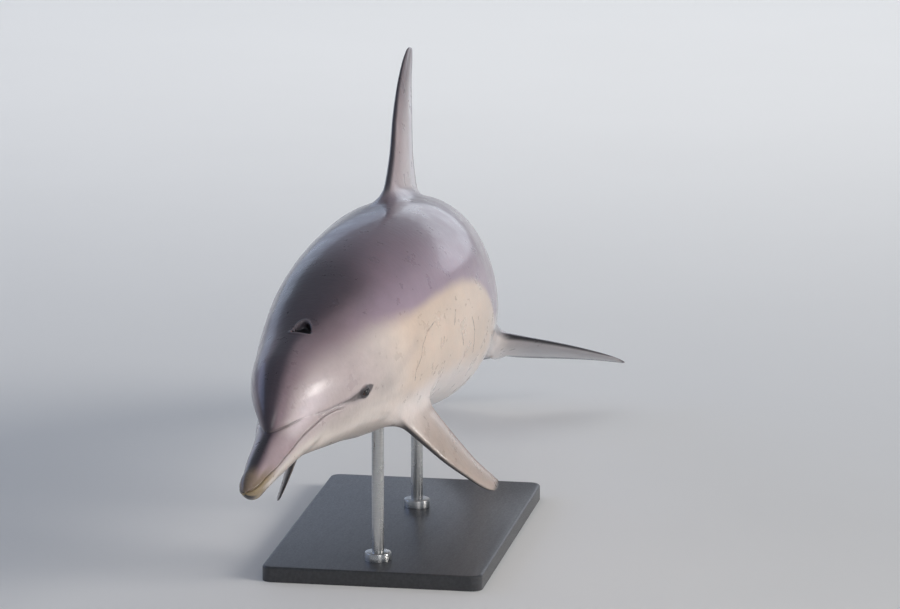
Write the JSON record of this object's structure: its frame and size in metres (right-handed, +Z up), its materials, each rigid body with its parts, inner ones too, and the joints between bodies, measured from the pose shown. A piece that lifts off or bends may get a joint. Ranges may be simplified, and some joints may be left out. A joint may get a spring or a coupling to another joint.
{
  "type": "common dolphin display model",
  "caption": "Life-size still model of a short-beaked common dolphin leaping with arched back, held over a flat base by two short rods",
  "frame": {"origin": "centre of the stand base's underside, on the floor", "axes": "+X to the dolphin's left, +Y from its beak towards its tail, +Z up"},
  "size_m": [0.4625, 2.084, 0.8583],
  "materials": {
    "beak_skin": "wet grey skin of the upper beak, darker along the top, ochre lips at the tip",
    "jaw_skin": "wet pale pinkish-grey skin of the lower jaw, ochre at the tip",
    "head_skin": "wet purplish-grey skin, darker along the top of the melon, paler on the cheeks",
    "trunk_skin": "wet skin: dark grey-brown cape, tan flank patch, white belly",
    "tail_skin": "wet skin: grey tail stock, paler below",
    "fin_skin": "wet brown-grey skin, pale centre, dark leading edge",
    "flipper_skin": "wet pale cream-grey skin with a dark leading edge and tip",
    "eye": "dark glossy eyeball",
    "stand_board": "dense board with a satin graphite lacquer",
    "stand_steel": "brushed stainless steel"
  },
  "bodies": {
    "root": {"upper_beak": "beak_skin", "lower_jaw": "jaw_skin", "head": "head_skin", "eye_left": "eye", "eye_right": "eye", "chest": "trunk_skin", "midriff": "trunk_skin", "loin": "trunk_skin", "tail_stock": "tail_skin", "dorsal_fin": "fin_skin", "flipper_left": "flipper_skin", "flipper_right": "flipper_skin", "fluke_left": "tail_skin", "fluke_right": "tail_skin", "stand_base": "stand_board", "stand_rod_front": "stand_steel", "stand_rod_rear": "stand_steel", "stand_collar_front": "stand_steel", "stand_collar_rear": "stand_steel"}
  },
  "joints": []
}
